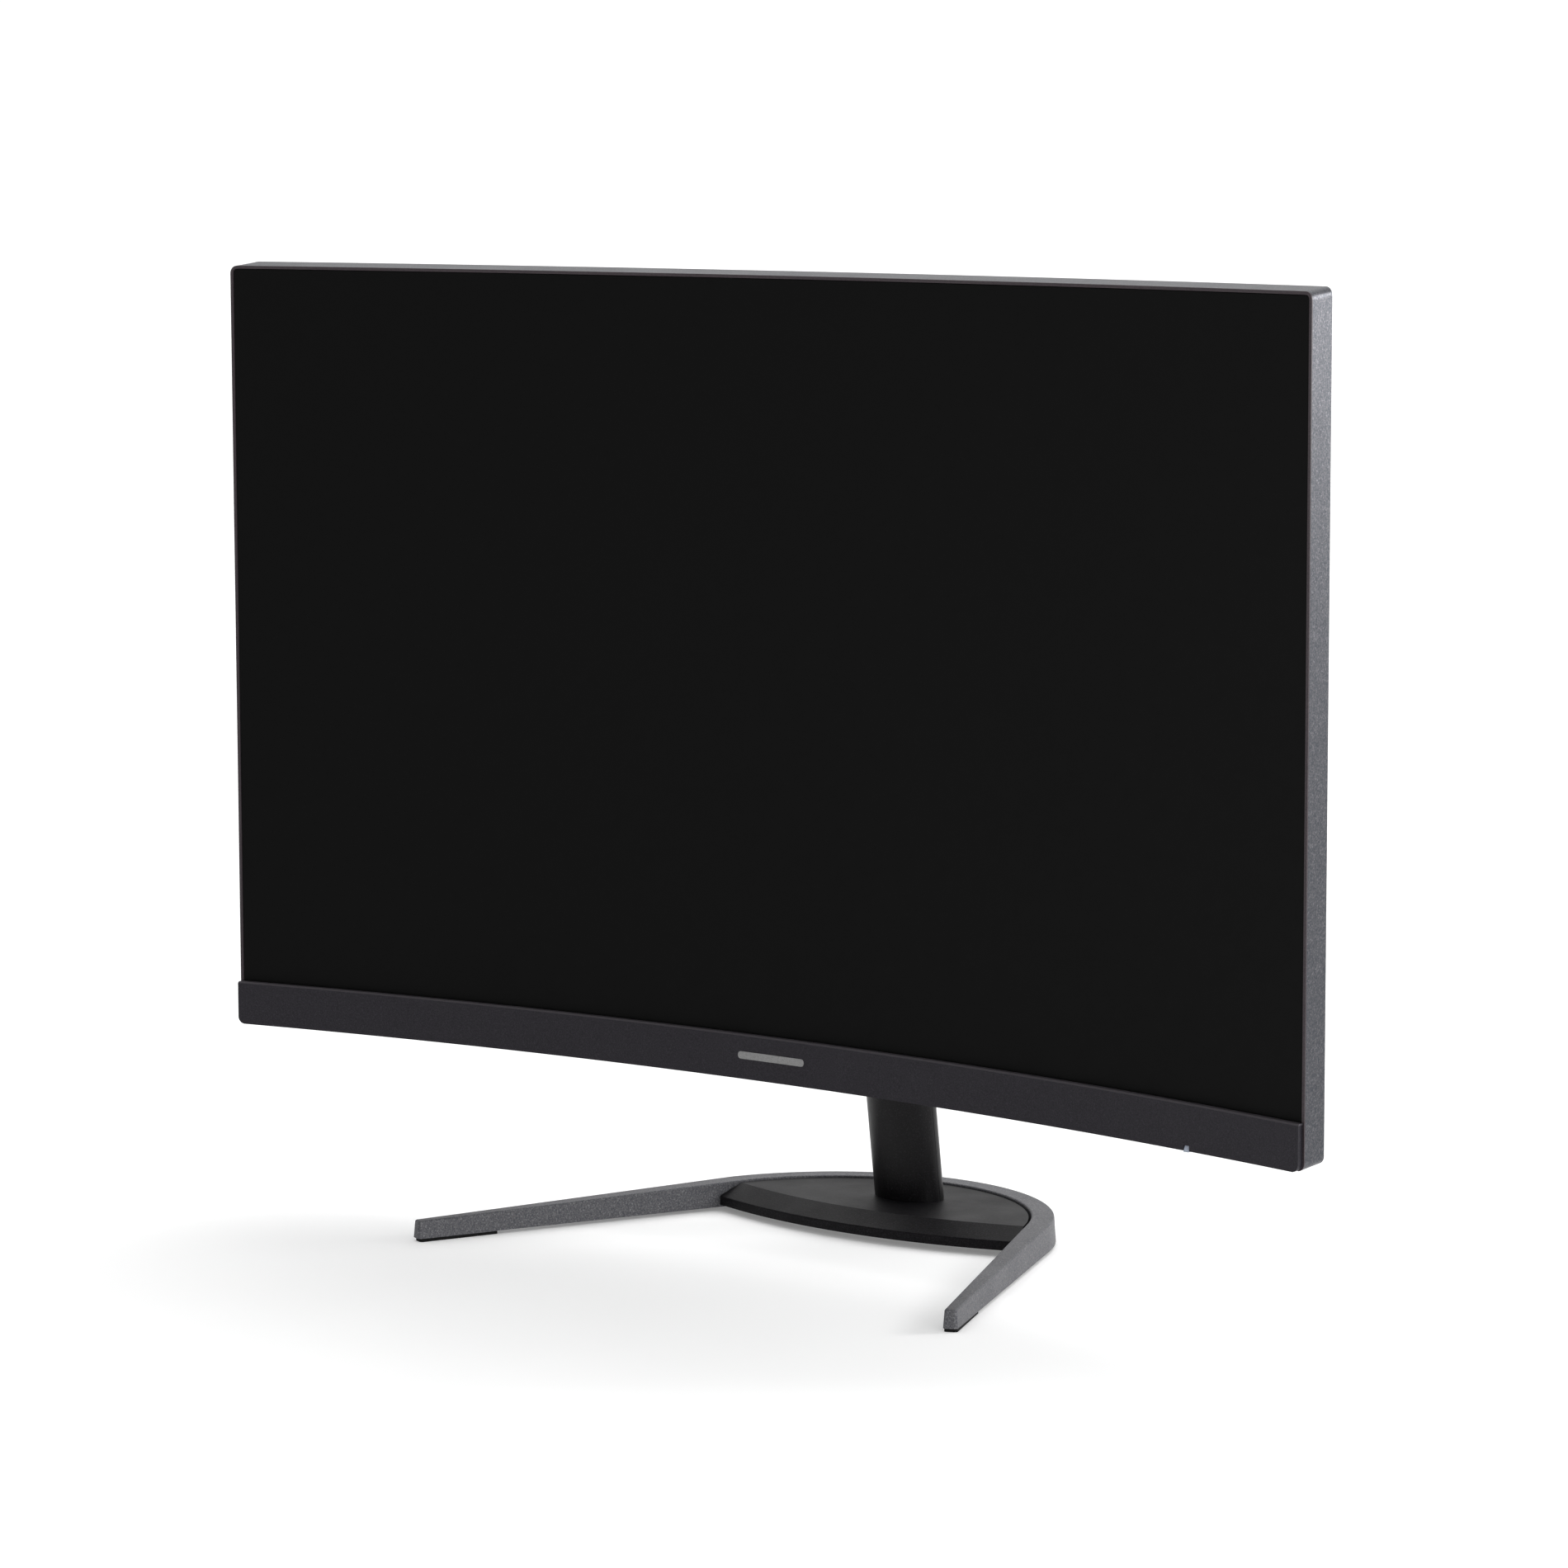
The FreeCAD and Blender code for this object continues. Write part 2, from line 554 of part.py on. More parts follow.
def round_socket(x, size, hole_r, pin_r, floor):
    """A square-bodied round socket along Y, with an optional centre pin."""
    z = (PORT_LOW + PORT_HIGH) / 2
    body = box(x - size / 2, x + size / 2, BOARD_Y + 1.6, PORT_FLOOR_Y + 0.4, z - size / 2, z + size / 2)
    body = body.cut(rod(hole_r, V(x, floor, z), V(x, PORT_FLOOR_Y + 1, z)))
    if pin_r > 0:
        body = join([body, rod(pin_r, V(x, floor - 0.1, z), V(x, PORT_FLOOR_Y - 0.6, z))])
    return body


def make_sockets():
    """The video, headphone and power sockets, and the steel plate round them."""
    floor = PORT_FLOOR_Y - 9.0
    for name, x in (("hdmi_socket_1", 50.0), ("hdmi_socket_2", 70.0)):
        save(name, socket(x, 15.2, 5.8, 14.0, 4.6, floor))
    save("displayport_socket", socket(91.5, 17.4, 6.2, 16.1, 4.9, floor))
    save("headphone_jack", round_socket(109.0, 7.6, 1.8, 0, floor))
    save("dc_power_jack", round_socket(-105.0, 11.0, 3.25, 1.1, floor))
    z = (PORT_LOW + PORT_HIGH) / 2
    plates = []
    for x0, x1, openings in ((PORT_LEFT, PORT_RIGHT, ((50.0, 15.6, 6.2), (70.0, 15.6, 6.2),
                                                      (91.5, 17.8, 6.6), (109.0, 8.0, 8.0))),
                             (POWER_LEFT, POWER_RIGHT, ((-105.0, 11.4, 11.4),))):
        plate = box(x0 - 1.6, x1 + 1.6, PORT_FLOOR_Y - 2.0, PORT_FLOOR_Y - 1.0, PORT_LOW - 1.6, PORT_HIGH + 1.6)
        for x, width, height in openings:
            plate = plate.cut(box(x - width / 2, x + width / 2, PORT_FLOOR_Y - 3, PORT_FLOOR_Y,
                                  z - height / 2, z + height / 2))
        plates.append(plate)
    save("io_plates", group(plates))


def make_rear_cover_screws():
    screws = []
    for x, z in COVER_SCREWS:
        y = curve_y(COVER_DEPTH, x) - 1.2
        screws.append(pan_screw(x, y, z, 6.5, 1.5, 3.0, 1.7))
    save("rear_cover_screws", group(screws))


def make_panel_ribbon_cable():
    """The flat cable from the main board, over the chassis, to the timing board."""
    low = 246.0
    bend_z = 349.0
    back = BOARD_Y + 5.0
    front = SCREEN_Y + 11.8
    strip = box(40, 52, back - 0.4, back, low, bend_z)
    drop = box(40, 52, front, back, bend_z - 0.4, bend_z)
    reach = box(30, 52, front, front + 0.4, bend_z - 0.4, TIMING_Z - 4)
    save("panel_ribbon_cable", join([strip, drop, reach]))


# ================================================================ the hinge
def make_hinge_display_bracket():
    """The steel bracket on the display: a plate and two ears that reach back to the shaft."""
    plate = box(-30, 30, VESA_PLATE_Y, VESA_PLATE_Y + 1.4, HINGE_Z - 16, HINGE_Z + 34)
    pieces = [plate]
    for side in (-1, 1):
        x0, x1 = sorted((side * EAR_IN, side * EAR_OUT))
        arm = box(x0, x1, VESA_PLATE_Y + 0.1, HINGE_Y, HINGE_Z - EAR_R, HINGE_Z + EAR_R)
        pieces += [arm, rod(EAR_R, V(x0, HINGE_Y, HINGE_Z), V(x1, HINGE_Y, HINGE_Z))]
    bracket = join(pieces)
    bore = SHAFT_R + SHAFT_CLEARANCE
    bracket = bracket.cut(rod(bore, V(-40, HINGE_Y, HINGE_Z), V(40, HINGE_Y, HINGE_Z)))
    screws = []
    for x in (-12, 12):
        for z in (HINGE_Z - 6, HINGE_Z + 22):
            bracket = bracket.cut(rod(2.2, V(x, VESA_PLATE_Y - 1, z), V(x, VESA_PLATE_Y + 3, z)))
            screw = join([rod(1.85, V(x, VESA_PLATE_Y - 4, z), V(x, VESA_PLATE_Y + 1.5, z)),
                          rod(3.4, V(x, VESA_PLATE_Y + 1.4, z), V(x, VESA_PLATE_Y + 2.0, z))])
            screws.append(screw)
    save("hinge_display_bracket", bracket)
    save("hinge_bracket_screws", group(screws))


def make_hinge_caps():
    """The round covers over the hinge's ends."""
    caps = []
    for side in (-1, 1):
        cap = rod(13.0, V(side * EAR_OUT, HINGE_Y, HINGE_Z), V(side * 31.0, HINGE_Y, HINGE_Z))
        rim = [e for e in cap.Edges if abs(abs(e.CenterOfMass.x) - 31.0) < 0.01]
        cap = cap.makeFillet(2.5, rim)
        cap = cap.cut(rod(10.0, V(side * 20, HINGE_Y, HINGE_Z), V(side * 29.0, HINGE_Y, HINGE_Z)))
        caps.append(cap)
    save("hinge_caps", group(caps))


def lean(shape):
    """Turns an upright shape at the neck's foot forward by the neck's lean."""
    shape.rotate(V(0, NECK_Y, PLATE_TOP), X_AXIS, NECK_LEAN)
    return shape


def neck_solid(inset, low):
    """The neck's outside shape, drawn in by a wall, from a height up to the hinge."""
    slope = math.tan(math.radians(NECK_LEAN))
    centre = V(0, NECK_Y - (low - PLATE_TOP) * slope, low)
    oval = Part.Ellipse(centre, NECK_A - inset, NECK_B - inset).toShape()
    face = Part.Face(Part.Wire([oval]))
    column = face.extrude(V(0, -(HINGE_Z - low) * slope, HINGE_Z - low))
    half = BARREL_HALF - inset
    barrel = rod(BARREL_R - inset, V(-half, HINGE_Y, HINGE_Z), V(half, HINGE_Y, HINGE_Z))
    if inset == 0:
        barrel = barrel.makeFillet(1.0, barrel.Edges[:1] + barrel.Edges[2:3])
    return join([column, barrel])


def make_neck_covers():
    """The front and rear halves of the neck's plastic skin."""
    shell = neck_solid(0, PLATE_TOP).cut(neck_solid(NECK_WALL, PLATE_TOP - 5))
    shell = shell.cut(rod(SHAFT_R + 0.4, V(-40, HINGE_Y, HINGE_Z), V(40, HINGE_Y, HINGE_Z)))
    seam = 0.1
    front = lean(box(-40, 40, NECK_Y - 60, NECK_Y - seam, -20, 300))
    rear = lean(box(-40, 40, NECK_Y + seam, NECK_Y + 60, -20, 300))
    save("neck_front_cover", shell.common(front))
    save("neck_rear_cover", shell.common(rear))


def make_neck_core():
    """The steel post, its foot, and the bracket that carries the hinge shaft."""
    y = NECK_Y
    post_low = PLATE_TOP + 12.5
    post = box(-13, 13, y - 5.4, y + 5.4, post_low, 200)
    post = lean(post.cut(box(-11.4, 11.4, y - 3.8, y + 3.8, PLATE_TOP, 201)))
    flange = box(-12.5, 12.5, y - 5.2, y + 5.2, PLATE_TOP, PLATE_TOP + 2.6)
    block = box(-11, 11, y - 5.2, y + 5.2, PLATE_TOP + 2.5, PLATE_TOP + 10.5)
    tongue = lean(box(-11.2, 11.2, y - 3.6, y + 3.6, PLATE_TOP + 6, PLATE_TOP + 26))
    foot = join([flange, block, tongue])
    foot = foot.cut(rod(3.0, V(0, y, PLATE_TOP - 5), V(0, y, PLATE_TOP + 12)))
    bracket = join([box(-11.2, 11.2, y - 3.6, y + 3.6, 182, 203), box(-13, 13, y - 4.3, y + 4.3, 200.5, 217)])
    bracket = lean(bracket)
    for side in (-1, 1):
        bracket = join([bracket, rod(10.5, V(side * 8, HINGE_Y, HINGE_Z), V(side * 14, HINGE_Y, HINGE_Z))])
    bracket = bracket.cut(rod(SHAFT_R, V(-20, HINGE_Y, HINGE_Z), V(20, HINGE_Y, HINGE_Z)))
    screws = []
    for z in (186.5, 195.5):
        hole = lean(rod(1.6, V(0, y - 2, z), V(0, y + 8, z)))
        post = post.cut(hole)
        bracket = bracket.cut(hole)
        shank = rod(1.5, V(0, y - 1.8, z), V(0, y + 5.5, z))
        head = rod(3.2, V(0, y + 5.4, z), V(0, y + 7.4, z))
        screws.append(lean(join([shank, head])))
    save("neck_post", post)
    save("neck_foot", foot)
    save("hinge_stand_bracket", bracket)
    save("neck_screws", group(screws))


def make_hinge_shaft():
    """The shaft with its nuts and spring washers."""
    end = 27.6
    axis = [V(-end, HINGE_Y, HINGE_Z), V(end, HINGE_Y, HINGE_Z)]
    save("hinge_shaft", rod(SHAFT_R, axis[0], axis[1]))
    washers = []
    nuts = []
    for side in (-1, 1):
        for inner, outer, radius in ((18.35, 19.9, 8.5), (23.1, 23.8, 8.5)):
            start = V(side * inner, HINGE_Y, HINGE_Z)
            stop = V(side * outer, HINGE_Y, HINGE_Z)
            washers.append(rod(radius, start, stop).cut(rod(SHAFT_R, start - X_AXIS * 5, start + X_AXIS * 5)))
        nut = hex_rod(13.0, V(side * 23.85, HINGE_Y, HINGE_Z), V(side * 27.2, HINGE_Y, HINGE_Z))
        nuts.append(nut.cut(rod(SHAFT_R, V(side * 20, HINGE_Y, HINGE_Z), V(side * 30, HINGE_Y, HINGE_Z))))
    save("hinge_washers", group(washers))
    save("hinge_nuts", group(nuts))


# ================================================================ the base
def base_outline(spread, z):
    """The ring-and-legs outline at a height, grown outwards by a spread."""
    middle = math.radians((LEG_OUTER_ANGLE + LEG_INNER_ANGLE) / 2)
    forward = V(math.sin(middle), -math.cos(middle), 0)
    tip = V(TIP_X, TIP_Y, 0) + forward * spread

    def side_points(radius, degrees):
        a = math.radians(degrees)
        tangent = V(radius * math.cos(a), RING_CENTRE_Y + radius * math.sin(a), 0)
        along = V(math.sin(a), -math.cos(a), 0)
        reach = (tip - tangent).dot(forward) / along.dot(forward)
        return tangent, tangent + along * reach
    outer, outer_tip = side_points(RING_OUTER_R + spread, LEG_OUTER_ANGLE)
    inner, inner_tip = side_points(RING_INNER_R - spread, LEG_INNER_ANGLE)

    def left(p):
        return V(-p.x, p.y, 0)
    outer_top = V(0, RING_CENTRE_Y + RING_OUTER_R + spread, 0)
    inner_top = V(0, RING_CENTRE_Y + RING_INNER_R - spread, 0)
    wire = Part.Wire([
        Part.Arc(left(outer), outer_top, outer).toShape(), line(outer, outer_tip),
        line(outer_tip, inner_tip), line(inner_tip, inner),
        Part.Arc(inner, inner_top, left(inner)).toShape(), line(left(inner), left(inner_tip)),
        line(left(inner_tip), left(outer_tip)), line(left(outer_tip), left(outer))])
    wire.translate(V(0, 0, z))
    return wire


def make_base_frame():
    """The cast ring with its two legs."""
    low = PAD_HEIGHT
    body = Part.makeLoft([base_outline(DRAFT, low), base_outline(0, RING_TOP)], True, True)
    start = V(0, RING_CENTRE_Y + 40, RING_TOP)
    tip = V(0, TIP_Y - 4, TIP_TOP - 0.05)
    outline = [start, tip, V(0, tip.y, RING_TOP + 5), V(0, start.y, RING_TOP + 5)]
    wedge = Part.Face(Part.makePolygon(outline + outline[:1])).extrude(V(400, 0, 0))
    wedge.translate(V(-200, 0, 0))
    body = body.cut(wedge)
    tips = []
    for edge in body.Edges:
        points = [v.Point for v in edge.Vertexes]
        if len(points) == 2 and all(p.y < TIP_Y + 8 for p in points) and abs(points[0].z - points[1].z) > 5:
            tips.append(edge)
    body = body.makeFillet(1.4, tips)
    body = body.makeFillet(EDGE_SOFT, top_edges(body, PAD_HEIGHT + 5))
    lugs = []
    for x, y, angle in LUGS:
        lug = box(-7, 7, -9, 2.6, LUG_BOTTOM, LUG_BOTTOM + 2.8)
        lug.rotate(V(0, 0, 0), Z_AXIS, angle)
        lug.translate(V(x, y, 0))
        lugs.append(lug)
    body = join([body] + lugs)
    for x, y, angle in LUGS:
        a = math.radians(angle)
        hole = V(x + 5.5 * math.sin(a), y - 5.5 * math.cos(a), 0)
        body = body.cut(rod(1.5, hole, hole + Z_AXIS * 12))
    save("base_frame", body)


def plate_outline(inset, low, high):
    """A block the shape of the opening in the ring, drawn in by an inset."""
    radius = RING_INNER_R - PLATE_GAP - inset
    a = math.radians(LEG_INNER_ANGLE)
    tangent = V(radius * math.cos(a), RING_CENTRE_Y + radius * math.sin(a), 0)
    reach = 60.0
    front = tangent + V(math.sin(a), -math.cos(a), 0) * reach

    def left(p):
        return V(-p.x, p.y, 0)
    top = V(0, RING_CENTRE_Y + radius, 0)
    face = face_of([Part.Arc(left(tangent), top, tangent).toShape(), line(tangent, front),
                    line(front, left(front)), line(left(front), left(tangent))])
    block = face.extrude(V(0, 0, high - low))
    block.translate(V(0, 0, low))
    return block


def bowed_block(profile):
    """Turns a (radius, height) outline about the centre of the plate's bowed front."""
    centre = V(0, BOW_CENTRE_Y, 0)
    corners = [V(0, BOW_CENTRE_Y - r, z) for r, z in profile]
    face = Part.Face(Part.makePolygon(corners + corners[:1]))
    face.rotate(centre, Z_AXIS, -35)
    return face.revolve(centre, Z_AXIS, 70)


def bowed_edges(plate):
    """The two long edges of the plate's sloping front facet."""
    found = []
    for edge in plate.Edges:
        ends = [v.Point for v in edge.Vertexes]
        for radius, z in ((BOW_EDGE_R, FACET_TOP), (BOW_CREASE_R, PLATE_TOP)):
            on_edge = [abs(math.hypot(p.x, p.y - BOW_CENTRE_Y) - radius) < 0.01 and abs(p.z - z) < 0.01
                       for p in ends]
            if all(on_edge):
                found.append(edge)
    return found


def make_base_plate():
    """The dark top plate inside the ring, with a folded, bowed front."""
    back = 120.0
    wall = PLATE_WALL
    skin = bowed_block([(BOW_EDGE_R, PLATE_BOTTOM), (BOW_EDGE_R, FACET_TOP), (BOW_CREASE_R, PLATE_TOP),
                        (back, PLATE_TOP), (back, PLATE_BOTTOM)])
    hollow = bowed_block([(BOW_EDGE_R - wall, 0), (BOW_EDGE_R - wall, FACET_TOP - 1.0),
                          (BOW_CREASE_R - 0.5, PLATE_TOP - wall), (back - 5, PLATE_TOP - wall), (back - 5, 0)])
    plate = skin.common(plate_outline(DRAFT, PLATE_BOTTOM, PLATE_TOP))
    plate = plate.makeFillet(PLATE_EDGE_R, bowed_edges(plate))
    plate = plate.cut(hollow.common(plate_outline(DRAFT + wall, -1, PLATE_TOP - wall)))
    for x, y, angle in LUGS:
        pass_through = box(-7.4, 7.4, -12, 8, -1, LUG_BOTTOM + 3.0)
        pass_through.rotate(V(0, 0, 0), Z_AXIS, angle)
        pass_through.translate(V(x, y, 0))
        plate = plate.cut(pass_through)
    plate = plate.cut(rod(3.4, V(0, NECK_Y, 0), V(0, NECK_Y, 20)))
    save("base_plate", plate)


def make_base_weight():
    """The steel plate inside the base, held to the ring's lugs from below."""
    block = plate_outline(DRAFT + PLATE_WALL + 0.6, WEIGHT_LOW, LUG_BOTTOM)
    front = bowed_block([(BOW_EDGE_R - PLATE_WALL - 4, 0), (BOW_EDGE_R - PLATE_WALL - 4, 20), (110, 20), (110, 0)])
    weight = block.common(front)
    weight = weight.cut(rod(3.4, V(0, NECK_Y, 0), V(0, NECK_Y, 20)))
    screws = []
    for x, y, angle in LUGS:
        a = math.radians(angle)
        hole = V(x + 5.5 * math.sin(a), y - 5.5 * math.cos(a), 0)
        weight = weight.cut(rod(1.8, hole, hole + Z_AXIS * 12))
        low = WEIGHT_LOW
        shank = rod(1.45, hole + Z_AXIS * (low - 0.1), hole + Z_AXIS * (low + 5.2))
        head = rod(3.0, hole + Z_AXIS * (low - 1.4), hole + Z_AXIS * low)
        screws.append(join([shank, head]))
    save("base_weight", weight)
    save("base_screws", group(screws))


def make_foot_pads():
    """The rubber pads: one under each leg's tip and three under the back of the ring."""
    middle = (LEG_OUTER_ANGLE + LEG_INNER_ANGLE) / 2
    pad = box(-3.0, 3.0, 0.3, 40, 0, PAD_HEIGHT)
    pad = pad.makeFillet(1.3, edges_along(pad, Z_AXIS))
    pad.rotate(V(0, 0, 0), Z_AXIS, middle)
    pad.translate(V(TIP_X, TIP_Y, 0))
    save("foot_pad_front_right", pad)
    save("foot_pad_front_left", mirror_x(pad))
    pads = []
    for degrees in (40, 90, 140):
        foot = box(-13, 13, -4, 4, 0, PAD_HEIGHT)
        foot = foot.makeFillet(2.5, edges_along(foot, Z_AXIS))
        foot.translate(V(0, RING_CENTRE_Y + (RING_OUTER_R + RING_INNER_R) / 2, 0))
        foot.rotate(V(0, RING_CENTRE_Y, 0), Z_AXIS, degrees - 90)
        pads.append(foot)
    save("foot_pads_rear", group(pads))


def make_thumb_screw():
    """The captive screw that holds the neck to the base, and its folding bail."""
    y = NECK_Y
    head_low = WEIGHT_LOW - 1.3
    pieces = [rod(2.95, V(0, y, head_low), V(0, y, PLATE_TOP + 11)),
              rod(9.0, V(0, y, head_low), V(0, y, WEIGHT_LOW))]
    for side in (-1, 1):
        x0, x1 = sorted((side * 6.4, side * 8.0))
        pieces.append(box(x0, x1, y - 1.3, y + 1.3, BAIL_Z - 0.9, head_low + 0.1))
    screw = join(pieces)
    pivot_r = BAIL_WIRE_R + PIN_CLEARANCE
    for side in (-1, 1):
        screw = screw.cut(rod(pivot_r, V(side * 6, y, BAIL_Z), V(side * 9, y, BAIL_Z)))
    save("thumb_screw", screw)
    wire = []
    for side in (-1, 1):
        inner = V(side * 5.4, y, BAIL_Z)
        corner = V(side * 5.4, y - 5.6, BAIL_Z)
        wire += [rod(BAIL_WIRE_R, V(side * 7.9, y, BAIL_Z), inner), rod(BAIL_WIRE_R, inner, corner),
                 Part.makeSphere(BAIL_WIRE_R, inner), Part.makeSphere(BAIL_WIRE_R, corner)]
    wire.append(rod(BAIL_WIRE_R, V(-5.4, y - 5.6, BAIL_Z), V(5.4, y - 5.6, BAIL_Z)))
    save("thumb_screw_bail", join(wire))


# ================================================================ the menu key
def make_menu_key():
    """The five-way menu key: a holder, a rocking ring, a rocking stem and a sliding cap."""
    hole_r = PIN_R + PIN_CLEARANCE
    base = box(-9, 9, -4.6, -3.4, -9, 9)
    holder = box(-9, 9, -5.0 + 1.6, -2.6, -9, 9)
    ears = []
    for side in (-1, 1):
        z0, z1 = sorted((side * 5.4, side * 7.2))
        ears.append(box(-2.2, 2.2, -3.0, 1.8, z0, z1))
    holder = join([holder] + ears)
    holder = holder.cut(rod(hole_r, V(0, 0, -8), V(0, 0, 8)))
    ring = rod(5.0, V(0, -1.2, 0), V(0, 1.2, 0)).cut(rod(3.4, V(0, -2, 0), V(0, 2, 0)))
    ring = ring.cut(rod(hole_r, V(-6, 0, 0), V(6, 0, 0)))
    for side in (-1, 1):
        ring = join([ring, rod(PIN_R, V(0, 0, side * 4.6), V(0, 0, side * 6.9))])
    stem = join([rod(2.6, V(0, -1.1, 0), V(0, 1.6, 0)), rod(1.6, V(0, 1.5, 0), V(0, 8.6, 0)),
                 rod(PIN_R, V(-4.7, 0, 0), V(4.7, 0, 0))])
    cap = join([rod(3.2, V(0, 3.4, 0), V(0, 11.0, 0)), rod(5.6, V(0, 9.6, 0), V(0, 13.4, 0))])
    rim = [e for e in cap.Edges if abs(e.CenterOfMass.y - 13.4) < 0.01]
    cap = cap.makeFillet(1.2, rim)
    cap = cap.cut(rod(1.65, V(0, 3, 0), V(0, 9.6, 0)))
    cap = cap.cut(Part.makeSphere(9.0, V(0, 21.6, 0)))
    for name, shape in (("menu_key_board", base), ("menu_key_holder", holder), ("menu_key_ring", ring),
                        ("menu_key_stem", stem), ("menu_key_cap", cap)):
        save(name, key_place(shape))


# ================================================================ places worked out from the above
LIGHT_X = 240.0
GLASS_BOTTOM = PANEL_BOTTOM + 10.0
GLASS_TOP = PANEL_TOP - LIP_WIDTH - GAP
VESA_PLATE_Y = BACK_Y - 5.6
CHASSIS_BACK_Y = SCREEN_Y + 10.6
BOARD_Y = SCREEN_Y + 20.0
TIMING_Z = 377.0
BOARD_POSTS = [(37, 168), (117, 196), (37, 256), (117, 256), (-117, 196), (-67, 168), (-117, 240), (-67, 256)]
COVER_SCREWS = [(-215, 150), (215, 150), (-215, 370), (215, 370), (0, 400), (0, 108)]
LUG_R = RING_INNER_R + 1.0
LUGS = []
for spot in (30, 90, 150):
    turn = math.radians(spot)
    LUGS.append((LUG_R * math.cos(turn), RING_CENTRE_Y + LUG_R * math.sin(turn), spot - 90))

os.makedirs("parts", exist_ok=True)
make_side_frame()
make_screen_lip()
make_chin_bezel()
make_chin_badge()
make_led_light_pipe()
make_panel_layers()
make_panel_mid_frame()
make_panel_back_tray()
make_panel_boards()
make_rear_covers()
make_vesa_bracket()
make_main_chassis()
make_boards()
make_sockets()
make_rear_cover_screws()
make_panel_ribbon_cable()
make_hinge_display_bracket()
make_hinge_caps()
make_neck_covers()
make_neck_core()
make_hinge_shaft()
make_base_frame()
make_base_plate()
make_base_weight()
make_foot_pads()
make_thumb_screw()
make_menu_key()
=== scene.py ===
import json
import math

import bpy
from mathutils import Matrix, Vector


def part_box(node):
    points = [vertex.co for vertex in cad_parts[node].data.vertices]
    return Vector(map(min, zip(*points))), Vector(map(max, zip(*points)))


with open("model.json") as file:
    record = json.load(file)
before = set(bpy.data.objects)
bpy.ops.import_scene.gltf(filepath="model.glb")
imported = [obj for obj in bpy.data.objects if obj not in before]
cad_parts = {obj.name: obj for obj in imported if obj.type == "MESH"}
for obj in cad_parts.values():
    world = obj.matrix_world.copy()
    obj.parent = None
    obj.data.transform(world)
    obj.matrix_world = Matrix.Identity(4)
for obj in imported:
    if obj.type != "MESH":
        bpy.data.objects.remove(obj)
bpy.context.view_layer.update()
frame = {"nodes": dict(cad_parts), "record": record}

NODES = frame["nodes"]
MM = 0.001

# ---------------------------------------------------------------- camera
CAMERA_PLACE = Vector((1.5287, -1.9559, 0.5260))
CAMERA_YAW = math.radians(38.42)      # turned from +Y towards -X
CAMERA_PITCH = math.radians(7.17)     # below the horizon
CAMERA_ROLL = math.radians(-0.15)
CAMERA_LENS = 126.2                   # millimetres, as is the sensor's width
SENSOR_WIDTH = 36.0
CLIP_START, CLIP_END = 0.05, 60.0     # metres


def make_camera():
    data = bpy.data.cameras.new("camera")
    data.lens = CAMERA_LENS
    data.sensor_width = SENSOR_WIDTH
    data.clip_start = CLIP_START
    data.clip_end = CLIP_END
    camera = bpy.data.objects.new("camera", data)
    camera.location = CAMERA_PLACE
    turn = Matrix.Rotation(CAMERA_YAW, 4, "Z") @ Matrix.Rotation(math.pi / 2 - CAMERA_PITCH, 4, "X")
    camera.rotation_euler = (turn @ Matrix.Rotation(CAMERA_ROLL, 4, "Z")).to_euler()
    bpy.context.scene.collection.objects.link(camera)
    bpy.context.scene.camera = camera


# ---------------------------------------------------------------- floor
FLOOR_HALF = 400.0                    # half the floor's width, in metres
FLOOR_SHADE = 0.94
FLOOR_MOTTLE = 0.985                  # the mottle's darker shade, as a share of the paint's
FLOOR_ROUGHNESS = 0.8
FLOOR_GLOW = 0.17                     # lifts the floor to white and keeps the soft shadows


def make_floor():
    mesh = bpy.data.meshes.new("floor")
    half = FLOOR_HALF
    corners = [(-half, -half, 0), (half, -half, 0), (half, half, 0), (-half, half, 0)]
    mesh.from_pydata(corners, [], [(0, 1, 2, 3)])
    floor = bpy.data.objects.new("floor", mesh)
    bpy.context.scene.collection.objects.link(floor)
    floor.data.materials.append(floor_paint())


def floor_paint():
    """A pale matt paint with a faint mottle, which glows a little."""
    material, tree, shader = new_material("floor_paint")
    mottle = add_noise(tree, scale=6.0, detail=3.0)
    tint(tree, mottle, shader, grey(FLOOR_SHADE), grey(FLOOR_SHADE * FLOOR_MOTTLE))
    shader.inputs["Roughness"].default_value = FLOOR_ROUGHNESS
    shader.inputs["Specular IOR Level"].default_value = 0.0
    shader.inputs["Emission Color"].default_value = (1, 1, 1, 1)
    shader.inputs["Emission Strength"].default_value = FLOOR_GLOW
    return material


# ---------------------------------------------------------------- light
WALL_LIGHT = 1.08                     # what the camera sees behind the object
DARK_SIDE = 0.25                      # the studio's light from the front left
BRIGHT_SIDE = 1.15                    # and from the right rear
BRIGHT_WAY = Vector((0.45, 0.85, 0.25)).normalized()
CEILING_LIGHT = 1.30
CEILING_ANGLE = math.radians(60)      # how wide the ceiling is as the object sees it
CEILING_TURN = (math.radians(-20), math.radians(-18), 0)


